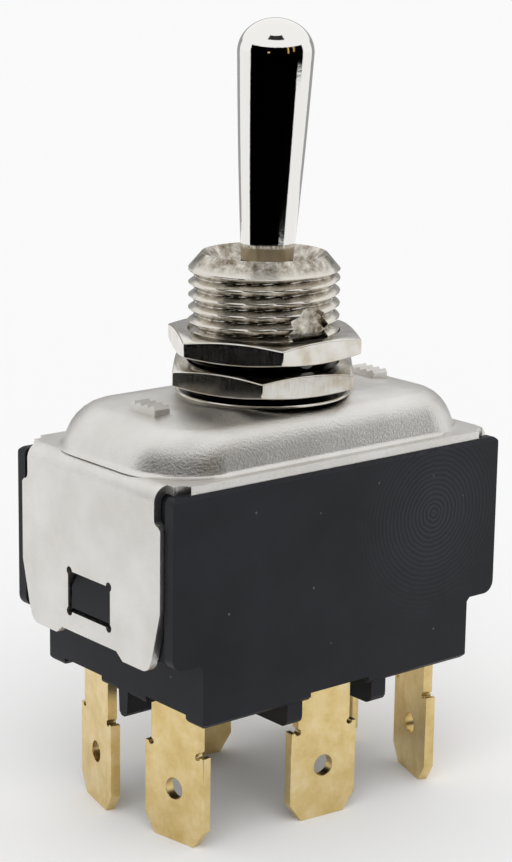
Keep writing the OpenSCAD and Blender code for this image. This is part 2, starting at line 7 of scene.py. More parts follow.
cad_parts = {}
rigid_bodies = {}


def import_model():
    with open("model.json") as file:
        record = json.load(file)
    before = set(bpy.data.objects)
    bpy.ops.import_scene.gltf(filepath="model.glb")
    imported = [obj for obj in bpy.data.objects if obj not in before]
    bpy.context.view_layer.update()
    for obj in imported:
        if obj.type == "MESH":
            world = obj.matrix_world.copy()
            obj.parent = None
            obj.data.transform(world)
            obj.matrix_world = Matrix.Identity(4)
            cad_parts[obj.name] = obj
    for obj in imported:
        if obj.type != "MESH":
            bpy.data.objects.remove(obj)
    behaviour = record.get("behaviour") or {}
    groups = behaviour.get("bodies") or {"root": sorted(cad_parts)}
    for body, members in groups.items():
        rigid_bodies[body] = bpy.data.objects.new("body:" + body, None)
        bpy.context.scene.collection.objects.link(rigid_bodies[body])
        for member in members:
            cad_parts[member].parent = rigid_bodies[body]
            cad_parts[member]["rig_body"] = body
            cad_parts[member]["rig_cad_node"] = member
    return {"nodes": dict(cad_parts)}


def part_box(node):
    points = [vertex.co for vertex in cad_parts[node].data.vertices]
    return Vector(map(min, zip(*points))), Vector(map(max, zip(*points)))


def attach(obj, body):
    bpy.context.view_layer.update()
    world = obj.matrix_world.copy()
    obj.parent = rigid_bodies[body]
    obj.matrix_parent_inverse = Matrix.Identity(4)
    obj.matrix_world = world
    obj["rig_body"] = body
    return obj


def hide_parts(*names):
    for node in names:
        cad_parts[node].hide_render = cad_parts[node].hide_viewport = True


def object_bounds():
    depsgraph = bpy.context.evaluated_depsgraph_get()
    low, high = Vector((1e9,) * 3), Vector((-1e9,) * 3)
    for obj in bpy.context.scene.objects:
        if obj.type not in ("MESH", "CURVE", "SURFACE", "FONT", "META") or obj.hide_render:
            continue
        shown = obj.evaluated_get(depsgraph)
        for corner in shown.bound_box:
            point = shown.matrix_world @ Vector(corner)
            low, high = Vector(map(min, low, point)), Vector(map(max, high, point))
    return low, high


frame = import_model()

cad_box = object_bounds()

# ---------------------------------------------------------------------------
# Base housing
# One moulding of black phenolic with ears, a lower block, rails and barrier ribs.
# It came out of the mould satin, with faint flow marks, and its edges are broken.

mm = 0.001
base_edge = 0.12 * mm
flow_spread = 9.1 * mm
flow_heart = (-9.5 * mm, 0, 14.5 * mm)

# Places of a colour mix's two colours among its inputs, and of its result among its outputs
mix_a, mix_b, mix_out = 6, 7, 2


def linear(colour):
    """An sRGB hex value as the linear colour that a shader socket takes."""
    parts = [int(colour[i:i + 2], 16) / 255 for i in (1, 3, 5)]
    return [p / 12.92 if p <= 0.04045 else ((p + 0.055) / 1.055) ** 2.4 for p in parts] + [1]


def add_node(material, kind, inputs, stops=(), **settings):
    """Adds one node, with its input values or links, a ramp's stops as (place, hex), and its settings."""
    node = material.node_tree.nodes.new(kind)
    for name, value in settings.items():
        setattr(node, name, value)
    if stops:
        while len(node.color_ramp.elements) < len(stops):
            node.color_ramp.elements.new(0.5)
        for element, (place, colour) in zip(node.color_ramp.elements, stops):
            element.position = place
            element.color = linear(colour)
    for name, value in inputs.items():
        if isinstance(value, bpy.types.NodeSocket):
            material.node_tree.links.new(value, node.inputs[name])
        else:
            node.inputs[name].default_value = value
    return node


def new_finish(name, **surface):
    """A material by its finish's name, with its Principled sockets set, and that shader."""
    material = bpy.data.materials.new(name)
    material.use_nodes = True
    shader = material.node_tree.nodes["Principled BSDF"]
    for socket, value in surface.items():
        shader.inputs[socket.replace("_", " ")].default_value = value
    return material, shader


def softened(node, name, edge, body, angle=32):
    """A node's own shape as a new piece with clean faces and its sharp edges broken by a small bevel."""
    source = frame["nodes"][node]
    piece = source.copy()
    piece.data = source.data.copy()
    piece.name = name
    piece.data.name = name
    piece.parent = None
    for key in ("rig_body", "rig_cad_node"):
        del piece[key]
    bpy.context.scene.collection.objects.link(piece)
    bpy.ops.object.select_all(action="DESELECT")
    piece.select_set(True)
    bpy.context.view_layer.objects.active = piece
    bpy.ops.object.mode_set(mode="EDIT")
    bpy.ops.mesh.select_all(action="SELECT")
    bpy.ops.mesh.customdata_custom_splitnormals_clear()
    bpy.ops.mesh.remove_doubles(threshold=0.001 * mm)
    bpy.ops.mesh.dissolve_limited(angle_limit=math.radians(0.4))
    bpy.ops.object.mode_set(mode="OBJECT")
    bpy.ops.object.shade_smooth_by_angle(angle=math.radians(angle))
    rounding = piece.modifiers.new("rounding", "BEVEL")
    rounding.width = edge
    rounding.segments = 2
    rounding.limit_method = "ANGLE"
    rounding.angle_limit = math.radians(angle)
    rounding.use_clamp_overlap = True
    bpy.ops.object.modifier_apply(modifier="rounding")
    evening = piece.modifiers.new("evening", "WEIGHTED_NORMAL")
    evening.keep_sharp = True
    bpy.ops.object.modifier_apply(modifier="evening")
    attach(piece, body)
    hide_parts(node)
    return piece


def finish_with(piece, material):
    """Gives a whole piece one material."""
    piece.data.materials.clear()
    piece.data.materials.append(material)


# Phenolic moulding compound: a hard resin skin that reads near black with a blue cast.
# The flow of the charge left faint curved marks about 0.4 mm apart on the long side.
phenolic, shader = new_finish("phenolic_moulding", Roughness=0.42, Specular_IOR_Level=0.16)
place = add_node(phenolic, "ShaderNodeTexCoord", {})
clouds = add_node(phenolic, "ShaderNodeTexNoise", {
    "Vector": place.outputs["Object"], "Scale": 1 / (6 * mm), "Detail": 4, "Roughness": 0.6})
base_tone = add_node(phenolic, "ShaderNodeValToRGB", {
    "Fac": clouds.outputs["Fac"]}, stops=((0.3, "#18191D"), (0.7, "#202126"))).outputs["Color"]
flow_centre = add_node(phenolic, "ShaderNodeMapping", {
    "Vector": place.outputs["Object"], "Location": flow_heart})
flow_rings = add_node(phenolic, "ShaderNodeTexWave", {
    "Vector": flow_centre.outputs["Vector"], "Scale": 0.8 / mm, "Distortion": 2.5, "Detail": 2,
    "Detail Scale": 1.5}, wave_type="RINGS", rings_direction="Y")
flow_reach = add_node(phenolic, "ShaderNodeMapping", {
    "Vector": flow_centre.outputs["Vector"], "Scale": (1 / flow_spread, 0, 1 / flow_spread)})
ring_fade = add_node(phenolic, "ShaderNodeTexGradient", {
    "Vector": flow_reach.outputs["Vector"]}, gradient_type="SPHERICAL")
ring_strength = add_node(phenolic, "ShaderNodeMath", {
    0: flow_rings.outputs["Fac"], 1: ring_fade.outputs["Fac"]}, operation="MULTIPLY")
ring_tint = add_node(phenolic, "ShaderNodeMix", {
    "Factor": ring_strength.outputs[0], mix_a: base_tone, mix_b: linear("#2E2F35")}, data_type="RGBA")
specks = add_node(phenolic, "ShaderNodeTexVoronoi", {
    "Vector": place.outputs["Object"], "Scale": 1 / (2.6 * mm), "Randomness": 1})
speck_mask = add_node(phenolic, "ShaderNodeValToRGB", {
    "Fac": specks.outputs["Distance"]}, stops=((0.02, "#FFFFFF"), (0.05, "#000000"))).outputs["Color"]
speck_tint = add_node(phenolic, "ShaderNodeMix", {
    "Factor": speck_mask, mix_a: ring_tint.outputs[mix_out], mix_b: linear("#5A5750")}, data_type="RGBA")
phenolic.node_tree.links.new(speck_tint.outputs[mix_out], shader.inputs["Base Color"])
skin = add_node(phenolic, "ShaderNodeTexNoise", {
    "Vector": place.outputs["Object"], "Scale": 1 / (0.25 * mm), "Detail": 3})
skin_bump = add_node(phenolic, "ShaderNodeBump", {
    "Height": skin.outputs["Fac"], "Strength": 0.25, "Distance": 0.01 * mm})
phenolic.node_tree.links.new(skin_bump.outputs["Normal"], shader.inputs["Normal"])

base_moulding = softened("base_housing", "base_moulding", base_edge, "housing")
finish_with(base_moulding, phenolic)

# ---------------------------------------------------------------------------
# Insulating sheet
# A punched sheet of red-brown vulcanised fibre that lies under the cover.
# Pressed cotton paper gives it a soft, slightly mottled face.

fibre, shader = new_finish("vulcanised_fibre", Roughness=0.7)
place = add_node(fibre, "ShaderNodeTexCoord", {})
mottle = add_node(fibre, "ShaderNodeTexNoise", {"Vector": place.outputs["Object"], "Scale": 1 / (1.2 * mm)})
fibre.node_tree.links.new(
    add_node(fibre, "ShaderNodeValToRGB", {"Fac": mottle.outputs["Fac"]},
             stops=((0.3, "#7A4A2C"), (0.7, "#93603D"))).outputs["Color"], shader.inputs["Base Color"])
finish_with(frame["nodes"]["insulator_sheet"], fibre)

# ---------------------------------------------------------------------------
# Terminals
# Six blades with their necks and shelves, blanked from brass strip 0.8 mm thick.
# Blanking broke their edges, and handling left the bright faces slightly streaked.

tab_edge = 0.13 * mm

# Cartridge brass strip, cold rolled: warm and bright, with lengthwise rolling streaks
# and small cloudy stains about 2 mm across.
brass, shader = new_finish("rolled_brass", Metallic=1.0)
place = add_node(brass, "ShaderNodeTexCoord", {})
stains = add_node(brass, "ShaderNodeTexNoise", {
    "Vector": place.outputs["Object"], "Scale": 1 / (2 * mm), "Detail": 5, "Roughness": 0.65})
brass.node_tree.links.new(
    add_node(brass, "ShaderNodeValToRGB", {"Fac": stains.outputs["Fac"]},
             stops=((0.25, "#D2B676"), (0.5, "#E4CB90"), (0.75, "#F0DDB0"))).outputs["Color"],
    shader.inputs["Base Color"])
streak_space = add_node(brass, "ShaderNodeMapping", {
    "Vector": place.outputs["Object"], "Scale": (1 / (0.12 * mm), 1 / (0.12 * mm), 1 / (3 * mm))})
streaks = add_node(brass, "ShaderNodeTexNoise", {
    "Vector": streak_space.outputs["Vector"], "Scale": 1, "Detail": 3})
brass.node_tree.links.new(
    add_node(brass, "ShaderNodeMapRange", {
        "Value": streaks.outputs["Fac"], "To Min": 0.22, "To Max": 0.42}).outputs["Result"],
    shader.inputs["Roughness"])
brass_bump = add_node(brass, "ShaderNodeBump", {
    "Height": streaks.outputs["Fac"], "Strength": 0.3, "Distance": 0.006 * mm})
brass.node_tree.links.new(brass_bump.outputs["Normal"], shader.inputs["Normal"])

for pole in ("front", "rear"):
    for place_name in ("left", "middle", "right"):
        blade = softened(f"terminal_{pole}_{place_name}", f"blade_{pole}_{place_name}", tab_edge, "housing")
        finish_with(blade, brass)

# ---------------------------------------------------------------------------
# Silver contacts
# Small buttons riveted to the end terminals and to the rocking arms.
# Fine silver, turned, with a soft grey lustre where it has begun to tarnish.

silver, shader = new_finish("contact_silver", Metallic=1.0, Roughness=0.28)
place = add_node(silver, "ShaderNodeTexCoord", {})
tarnish = add_node(silver, "ShaderNodeTexNoise", {
    "Vector": place.outputs["Object"], "Scale": 1 / (0.8 * mm)})
silver.node_tree.links.new(
    add_node(silver, "ShaderNodeValToRGB", {"Fac": tarnish.outputs["Fac"]},
             stops=((0.3, "#C9C6C0"), (0.7, "#E6E5E2"))).outputs["Color"], shader.inputs["Base Color"])
for name in ("fixed_contact_front_left", "fixed_contact_front_right", "fixed_contact_rear_left",
             "fixed_contact_rear_right", "rocker_contacts_front", "rocker_contacts_rear"):
    finish_with(frame["nodes"][name], silver)

# ---------------------------------------------------------------------------
# Rocking arms and plungers
# The arms are cut from phosphor bronze strip and tilt on their ridges.
# The plungers are turned from brass bar with round noses.

bronze, shader = new_finish("phosphor_bronze", Metallic=1.0, Roughness=0.34)
place = add_node(bronze, "ShaderNodeTexCoord", {})
bloom = add_node(bronze, "ShaderNodeTexNoise", {"Vector": place.outputs["Object"], "Scale": 1 / (1.5 * mm)})
bronze.node_tree.links.new(
    add_node(bronze, "ShaderNodeValToRGB", {"Fac": bloom.outputs["Fac"]},
             stops=((0.3, "#B47C4E"), (0.7, "#CF9C68"))).outputs["Color"], shader.inputs["Base Color"])
for name in ("rocker_front", "rocker_rear"):
    finish_with(frame["nodes"][name], bronze)
for name in ("plunger_front", "plunger_rear"):
    finish_with(frame["nodes"][name], brass)

# ---------------------------------------------------------------------------
# Springs and pins
# Drawn steel wire and ground steel pin stock, bare and lightly oiled.
# Drawing leaves fine marks along the wire, which break up its shine.

steel, shader = new_finish("drawn_steel", Metallic=1.0, Roughness=0.3)
place = add_node(steel, "ShaderNodeTexCoord", {})
oiling = add_node(steel, "ShaderNodeTexNoise", {"Vector": place.outputs["Object"], "Scale": 1 / (0.5 * mm)})
steel.node_tree.links.new(
    add_node(steel, "ShaderNodeValToRGB", {"Fac": oiling.outputs["Fac"]},
             stops=((0.3, "#8D9094"), (0.7, "#B0B2B4"))).outputs["Color"], shader.inputs["Base Color"])
for name in ("plunger_spring_front", "plunger_spring_rear", "pivot_pin", "actuator_pin"):
    finish_with(frame["nodes"][name], steel)

# ---------------------------------------------------------------------------
# Actuator
# A crosspiece of brown phenolic that is pinned to the lever's stem.
# Moulded like the base, with wood flour in it that shows as a warm grain.

brown_phenolic, shader = new_finish("brown_phenolic", Roughness=0.45, Specular_IOR_Level=0.35)
place = add_node(brown_phenolic, "ShaderNodeTexCoord", {})
flour = add_node(brown_phenolic, "ShaderNodeTexNoise", {
    "Vector": place.outputs["Object"], "Scale": 1 / (0.6 * mm), "Detail": 4})
brown_phenolic.node_tree.links.new(
    add_node(brown_phenolic, "ShaderNodeValToRGB", {"Fac": flour.outputs["Fac"]},
             stops=((0.3, "#4A2614"), (0.7, "#64371F"))).outputs["Color"], shader.inputs["Base Color"])
finish_with(frame["nodes"]["actuator"], brown_phenolic)

# ---------------------------------------------------------------------------
# Cover
# One pressing of sheet steel: a crowned dome, a rim, two bent flaps and toothed bumps.
# It was tumbled after pressing and nickel plated, which left a matt, finely grained face.

cover_edge = 0.09 * mm

# Dull nickel over tumbled steel: grains about 0.2 mm across break up every reflection,
# and the flat flaps carry scattered pits of 0.2 mm.
grained_nickel, shader = new_finish("grained_nickel", Metallic=1.0)
place = add_node(grained_nickel, "ShaderNodeTexCoord", {})
grain = add_node(grained_nickel, "ShaderNodeTexNoise", {
    "Vector": place.outputs["Object"], "Scale": 1 / (0.2 * mm), "Detail": 4, "Roughness": 0.7})
cloud = add_node(grained_nickel, "ShaderNodeTexNoise", {
    "Vector": place.outputs["Object"], "Scale": 1 / (4 * mm), "Detail": 3})
grained_nickel.node_tree.links.new(
    add_node(grained_nickel, "ShaderNodeValToRGB", {"Fac": cloud.outputs["Fac"]},
             stops=((0.3, "#D9D6D1"), (0.7, "#E6E4E0"))).outputs["Color"], shader.inputs["Base Color"])
grained_nickel.node_tree.links.new(
    add_node(grained_nickel, "ShaderNodeMapRange", {
        "Value": grain.outputs["Fac"], "To Min": 0.24, "To Max": 0.4}).outputs["Result"],
    shader.inputs["Roughness"])
grain_bump = add_node(grained_nickel, "ShaderNodeBump", {
    "Height": grain.outputs["Fac"], "Strength": 1.0, "Distance": 0.04 * mm})
pits = add_node(grained_nickel, "ShaderNodeTexVoronoi", {
    "Vector": place.outputs["Object"], "Scale": 1 / (1.4 * mm), "Randomness": 1})
pit_depth = add_node(grained_nickel, "ShaderNodeMapRange", {
    "Value": pits.outputs["Distance"], "From Min": 0.03, "From Max": 0.08})
pit_bump = add_node(grained_nickel, "ShaderNodeBump", {
    "Height": pit_depth.outputs["Result"], "Strength": 0.4, "Distance": 0.03 * mm,
    "Normal": grain_bump.outputs["Normal"]})
grained_nickel.node_tree.links.new(pit_bump.outputs["Normal"], shader.inputs["Normal"])

pressed_cover = softened("cover", "pressed_cover", cover_edge, "housing")
finish_with(pressed_cover, grained_nickel)

# ---------------------------------------------------------------------------
# Threaded bushing
# Turned from brass bar: a thin flange, a 12 mm thread of 1 mm pitch, and a sharp-rimmed mouth.
# A keyway with a round end is milled into the thread, and the whole is nickel plated.

bush_low, bush_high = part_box("bushing")
sheet_t = 0.65 * mm
crown_drop = 0.3 * mm
stake_t = 0.7 * mm
plateau = bush_low.z + sheet_t + crown_drop + stake_t
tail_r = 5.0 * mm
stake_r = 5.7 * mm
flange_r = 6.95 * mm
flange_t = 0.22 * mm
thread_r = 5.95 * mm
thread_pitch = 1.0 * mm
thread_depth = 0.52 * mm
chamfer_h = 1.2 * mm
mouth_r = 4.9 * mm
bore_r = 3.7 * mm
mouth_sink = 1.35 * mm


def turned(name, outline, segments=96, closed=False):
    """A turned piece: one ring is drawn out from station to station of an outline of radius and height."""
    radius, height = outline[0]
    bpy.ops.object.select_all(action="DESELECT")
    bpy.ops.mesh.primitive_circle_add(vertices=segments, radius=radius, location=(0, 0, height))
    piece = bpy.context.object
    piece.name = name
    piece.data.name = name
    bpy.ops.object.transform_apply(location=True, rotation=True, scale=True)
    bpy.ops.object.mode_set(mode="EDIT")
    bpy.ops.mesh.select_all(action="SELECT")
    for next_radius, next_height in outline[1:]:
        bpy.ops.mesh.extrude_region_move(TRANSFORM_OT_translate={"value": (0, 0, next_height - height)})
        share = next_radius / radius
        bpy.ops.transform.resize(value=(share, share, 1), center_override=(0, 0, next_height))
        radius, height = next_radius, next_height
    bpy.ops.mesh.select_all(action="SELECT")
    bpy.ops.mesh.remove_doubles(threshold=0.002 * mm)
    if not closed:
        bpy.ops.mesh.select_all(action="DESELECT")
        bpy.ops.mesh.select_non_manifold()
        bpy.ops.mesh.fill_holes(sides=0)
    bpy.ops.mesh.select_all(action="SELECT")
    bpy.ops.mesh.normals_make_consistent(inside=False)
    bpy.ops.object.mode_set(mode="OBJECT")
    return piece


def cut_away(piece, cutter, operation="DIFFERENCE"):
    """Takes one solid away from another, or keeps what they share, and removes the cutter."""
    joining = piece.modifiers.new("cut", "BOOLEAN")
    joining.operation = operation
    joining.solver = "EXACT"
    joining.object = cutter
    bpy.ops.object.select_all(action="DESELECT")
    piece.select_set(True)
    bpy.context.view_layer.objects.active = piece
    bpy.ops.object.modifier_apply(modifier="cut")
    bpy.data.objects.remove(cutter)


thread_top = bush_high.z - chamfer_h
thread_foot = plateau + flange_t
rings_per_turn = 16
steps = round((thread_top - thread_foot) / thread_pitch * rings_per_turn)
bush_outline = [
    (bore_r, bush_low.z), (tail_r, bush_low.z), (stake_r, bush_low.z + 0.2 * mm),
    (stake_r, plateau - sheet_t - crown_drop), (tail_r, plateau - sheet_t - crown_drop + 0.01 * mm),
    (tail_r, plateau), (flange_r - 0.08 * mm, plateau), (flange_r, plateau + 0.06 * mm),
    (flange_r, plateau + 0.15 * mm), (flange_r - 0.07 * mm, thread_foot)]
bush_outline += [(thread_r, thread_foot + (thread_top - thread_foot) * i / steps) for i in range(steps + 1)]
bush_outline += [
    (mouth_r + 0.05 * mm, bush_high.z - 0.03 * mm), (mouth_r - 0.04 * mm, bush_high.z),
    (mouth_r - 0.12 * mm, bush_high.z - 0.06 * mm),
    (bore_r, bush_high.z - mouth_sink), (bore_r, bush_low.z)]
threaded_bushing = turned("threaded_bushing", bush_outline, segments=144, closed=True)

# The thread is drawn into the plain barrel along a right-hand helix, with narrow flats on its
# crests and in its roots, and it fades out under the chamfer
crest_share = 0.1
flank_share = 0.78
fade_out = 0.3 * mm
for vertex in threaded_bushing.data.vertices:
    radius = math.hypot(vertex.co.x, vertex.co.y)
    on_barrel = abs(radius - thread_r) < 0.01 * mm
    if on_barrel and thread_foot + 0.1 * mm < vertex.co.z < thread_top - 0.05 * mm:
        turn = math.atan2(vertex.co.y, vertex.co.x) / (2 * math.pi)
        phase = ((vertex.co.z - thread_foot) / thread_pitch - turn) % 1
        groove = min(max((1 - abs(2 * phase - 1) - crest_share) / flank_share, 0), 1)
        fade = min((thread_top - vertex.co.z) / fade_out, 1)
        share = (radius - thread_depth * groove * fade) / radius
        vertex.co.x *= share
        vertex.co.y *= share

# Keyway: a slot with a round end, milled from the flange upwards
key_depth = 0.8 * mm
key_floor = -(thread_r - key_depth)
key_top = 2.4 * mm
key_r = 1.75 * mm
key_foot = thread_foot + 0.01 * mm
cutter_depth = 3 * mm
bpy.ops.object.select_all(action="DESELECT")
bpy.ops.mesh.primitive_cylinder_add(
    vertices=64, radius=key_r, depth=cutter_depth,
    location=(0, key_floor - cutter_depth / 2, key_top - key_r),
    rotation=(math.pi / 2, 0, 0))
key_cutter = bpy.context.object
bpy.ops.object.transform_apply(location=True, rotation=True, scale=True)
cut_away(threaded_bushing, key_cutter)
bpy.ops.mesh.primitive_cube_add(size=1, location=(
    0, key_floor - cutter_depth / 2, (key_top - key_r + key_foot) / 2))
key_cutter = bpy.context.object
key_cutter.scale = (2 * key_r, cutter_depth, key_top - key_r - key_foot)
bpy.ops.object.transform_apply(location=True, rotation=True, scale=True)
cut_away(threaded_bushing, key_cutter)
bpy.ops.object.shade_smooth_by_angle(angle=math.radians(28))
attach(threaded_bushing, "housing")
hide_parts("bushing")

# Bright nickel over cut brass: mirror-like on the crests, and dull and brownish in the
# roots, where cutting oil has dried, 0.3 mm down. The bore and the gaps at the nuts are
# painted near black: painted shade for the deep shade in them.
bright_nickel, shader = new_finish("bright_nickel", Metallic=1.0)
place = add_node(bright_nickel, "ShaderNodeTexCoord", {})
flat_place = add_node(bright_nickel, "ShaderNodeMapping", {
    "Vector": place.outputs["Object"], "Scale": (1, 1, 0)})
from_axis = add_node(bright_nickel, "ShaderNodeVectorMath", {
    0: flat_place.outputs["Vector"]}, operation="LENGTH")
root_mask = add_node(bright_nickel, "ShaderNodeMapRange", {
    "Value": from_axis.outputs["Value"], "From Min": thread_r - 0.5 * mm, "From Max": thread_r - 0.1 * mm,
    "To Min": 1, "To Max": 0})
oil = add_node(bright_nickel, "ShaderNodeTexNoise", {
    "Vector": place.outputs["Object"], "Scale": 1 / (0.9 * mm), "Detail": 5, "Roughness": 0.7})
oil_mask = add_node(bright_nickel, "ShaderNodeMapRange", {
    "Value": oil.outputs["Fac"], "From Min": 0.35, "From Max": 0.65})
dirt = add_node(bright_nickel, "ShaderNodeMath", {
    0: root_mask.outputs["Result"], 1: oil_mask.outputs["Result"]}, operation="MULTIPLY")
bright_tint = add_node(bright_nickel, "ShaderNodeMix", {
    "Factor": dirt.outputs[0], mix_a: linear("#DCD7CD"), mix_b: linear("#6E614C")}, data_type="RGBA")
height = add_node(bright_nickel, "ShaderNodeSeparateXYZ", {"Vector": place.outputs["Object"]})
# Painted shade: the bore, and the thread under the nuts inside the flange's rim, are painted near black
# (#1C1812)
in_bore = add_node(bright_nickel, "ShaderNodeMath", {
    0: from_axis.outputs["Value"], 1: bore_r + 0.03 * mm}, operation="LESS_THAN")
under_nuts = add_node(bright_nickel, "ShaderNodeMath", {
    0: height.outputs["Z"], 1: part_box("upper_nut")[0].z - 0.05 * mm}, operation="LESS_THAN")
inside_rim = add_node(bright_nickel, "ShaderNodeMath", {
    0: from_axis.outputs["Value"], 1: flange_r - 0.23 * mm}, operation="LESS_THAN")
between_nuts = add_node(bright_nickel, "ShaderNodeMath", {
    0: under_nuts.outputs[0], 1: inside_rim.outputs[0]}, operation="MULTIPLY")
painted_shade_mask = add_node(bright_nickel, "ShaderNodeMath", {
    0: in_bore.outputs[0], 1: between_nuts.outputs[0]}, operation="MAXIMUM")
painted_shade_tint = add_node(bright_nickel, "ShaderNodeMix", {
    "Factor": painted_shade_mask.outputs[0], mix_a: bright_tint.outputs[mix_out], mix_b: linear("#1C1812")},
    data_type="RGBA")
bright_nickel.node_tree.links.new(painted_shade_tint.outputs[mix_out], shader.inputs["Base Color"])
bright_nickel.node_tree.links.new(
    add_node(bright_nickel, "ShaderNodeMapRange", {
        "Value": oil.outputs["Fac"], "To Min": 0.1, "To Max": 0.32}).outputs["Result"],
    shader.inputs["Roughness"])
fine_marks = add_node(bright_nickel, "ShaderNodeTexNoise", {
    "Vector": place.outputs["Object"], "Scale": 1 / (0.2 * mm), "Detail": 3})
mark_bump = add_node(bright_nickel, "ShaderNodeBump", {
    "Height": fine_marks.outputs["Fac"], "Strength": 0.35, "Distance": 0.012 * mm})
bright_nickel.node_tree.links.new(mark_bump.outputs["Normal"], shader.inputs["Normal"])
finish_with(threaded_bushing, bright_nickel)

# ---------------------------------------------------------------------------
# Hexagon nuts
# Two thin nuts cut from drawn hexagon bar, faced and chamfered, then nickel plated.
# Their flats keep the fine upright marks of the bar and a few nicks from spanners.

nut_flat_r = 7.0 * mm
nut_corner_r = nut_flat_r / math.cos(math.radians(30))
nut_bevel = 0.36 * mm
nut_face_r = nut_flat_r - nut_bevel / 2
past_corner_r = nut_corner_r + 0.01 * mm
past_face = 0.001 * mm
nut_edge = 0.07 * mm
nut_turns = {"lower_nut": 50, "upper_nut": 1}
clearance = 0.03 * mm

# Satin nickel over drawn bar: marks 0.16 mm apart run up the flats, with tan patches
# where the plating is thin.
satin_nickel, shader = new_finish("satin_nickel", Metallic=1.0)
place = add_node(satin_nickel, "ShaderNodeTexCoord", {})
mark_space = add_node(satin_nickel, "ShaderNodeMapping", {
    "Vector": place.outputs["Object"], "Scale": (1 / (0.16 * mm), 1 / (0.16 * mm), 1 / (1.2 * mm))})
marks = add_node(satin_nickel, "ShaderNodeTexNoise", {
    "Vector": mark_space.outputs["Vector"], "Scale": 1, "Detail": 4, "Roughness": 0.6})
patches = add_node(satin_nickel, "ShaderNodeTexNoise", {
    "Vector": place.outputs["Object"], "Scale": 1 / (1.6 * mm), "Detail": 4})
satin_nickel.node_tree.links.new(
    add_node(satin_nickel, "ShaderNodeValToRGB", {"Fac": patches.outputs["Fac"]},
             stops=((0.3, "#C9BFAE"), (0.5, "#DDD9D1"), (0.75, "#E8E6E1"))).outputs["Color"],
    shader.inputs["Base Color"])
satin_nickel.node_tree.links.new(
    add_node(satin_nickel, "ShaderNodeMapRange", {
        "Value": marks.outputs["Fac"], "To Min": 0.08, "To Max": 0.26}).outputs["Result"],
    shader.inputs["Roughness"])
nick_bump = add_node(satin_nickel, "ShaderNodeBump", {
    "Height": marks.outputs["Fac"], "Strength": 0.45, "Distance": 0.012 * mm})
satin_nickel.node_tree.links.new(nick_bump.outputs["Normal"], shader.inputs["Normal"])

for nut_name, turn in nut_turns.items():
    low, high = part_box(nut_name)
    bpy.ops.object.select_all(action="DESELECT")
    bpy.ops.mesh.primitive_cylinder_add(
        vertices=6, radius=nut_corner_r, depth=high.z - low.z, location=(0, 0, (low.z + high.z) / 2),
        rotation=(0, 0, math.radians(turn + 30)))
    nut = bpy.context.object
    nut.name = "hexagon_" + nut_name
    nut.data.name = nut.name
    bpy.ops.object.transform_apply(location=True, rotation=True, scale=True)
    chamfering = turned("chamfering", [
        (nut_face_r, low.z - past_face), (past_corner_r, low.z + nut_bevel),
        (past_corner_r, high.z - nut_bevel), (nut_face_r, high.z + past_face)], 144)
    cut_away(nut, chamfering, "INTERSECT")
    bore = turned("bore", [(thread_r + clearance, low.z - mm), (thread_r + clearance, high.z + mm)], 96)
    cut_away(nut, bore)
    bpy.ops.object.shade_smooth_by_angle(angle=math.radians(20))
    breaking = nut.modifiers.new("breaking", "BEVEL")
    breaking.width = nut_edge
    breaking.segments = 2
    breaking.limit_method = "ANGLE"
    breaking.angle_limit = math.radians(20)
    bpy.ops.object.modifier_apply(modifier="breaking")
    evening = nut.modifiers.new("evening", "WEIGHTED_NORMAL")
    evening.keep_sharp = True
    bpy.ops.object.modifier_apply(modifier="evening")
    finish_with(nut, satin_nickel)
    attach(nut, "housing")
    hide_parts(nut_name)

# ---------------------------------------------------------------------------
# Bat lever
# Turned in one piece with its ball and stem, then polished and nickel plated.
# The neck just above the mouth was left unpolished, so it looks matt and tan.

pivot_drop = 7.52 * mm
pivot = Vector((0, 0, bush_high.z - pivot_drop))
lean = math.radians(2)
head_r = 2.975 * mm
neck_r = 2.05 * mm
ball_r = 3.5 * mm
stem_r = 1.5 * mm
head_dome = 2.6 * mm
lever_rise = 18 * mm
widest = bush_high.z + lever_rise - head_dome
neck_z = bush_high.z - 0.6 * mm
stem_end = -13.87 * mm
stem_bevel = 0.3 * mm
belly_out = 0.06 * mm
tip_r = 0.05 * mm
arc_steps = 24

lever_outline = [(tip_r, widest + head_dome)]
for i in range(1, arc_steps + 1):
    angle = math.radians(90 - 90 * i / arc_steps)
    lever_outline.append((max(head_r * math.cos(angle), tip_r), widest + head_dome * math.sin(angle)))
for i in range(1, arc_steps + 1):
    share = i / arc_steps
    belly = belly_out * math.sin(math.pi * share)
    lever_outline.append((head_r + (neck_r - head_r) * share + belly, widest + (neck_z - widest) * share))
top_angle = math.acos(neck_r / ball_r)
low_angle = -math.acos(stem_r / ball_r)
for i in range(arc_steps + 1):
    angle = top_angle + (low_angle - top_angle) * i / arc_steps
    lever_outline.append((ball_r * math.cos(angle), pivot.z + ball_r * math.sin(angle)))
lever_outline += [(stem_r, stem_end + stem_bevel), (stem_r - stem_bevel, stem_end)]
bat_lever = turned("bat_lever", lever_outline, segments=96)
bat_lever.matrix_world = (
    Matrix.Translation(pivot) @ Matrix.Rotation(lean, 4, "Y") @ Matrix.Translation(-pivot))
bpy.ops.object.select_all(action="DESELECT")
bat_lever.select_set(True)
bpy.context.view_layer.objects.active = bat_lever
bpy.ops.object.transform_apply(location=True, rotation=True, scale=True)
bpy.ops.object.shade_smooth_by_angle(angle=math.radians(40))
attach(bat_lever, "lever_unit")
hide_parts("lever")
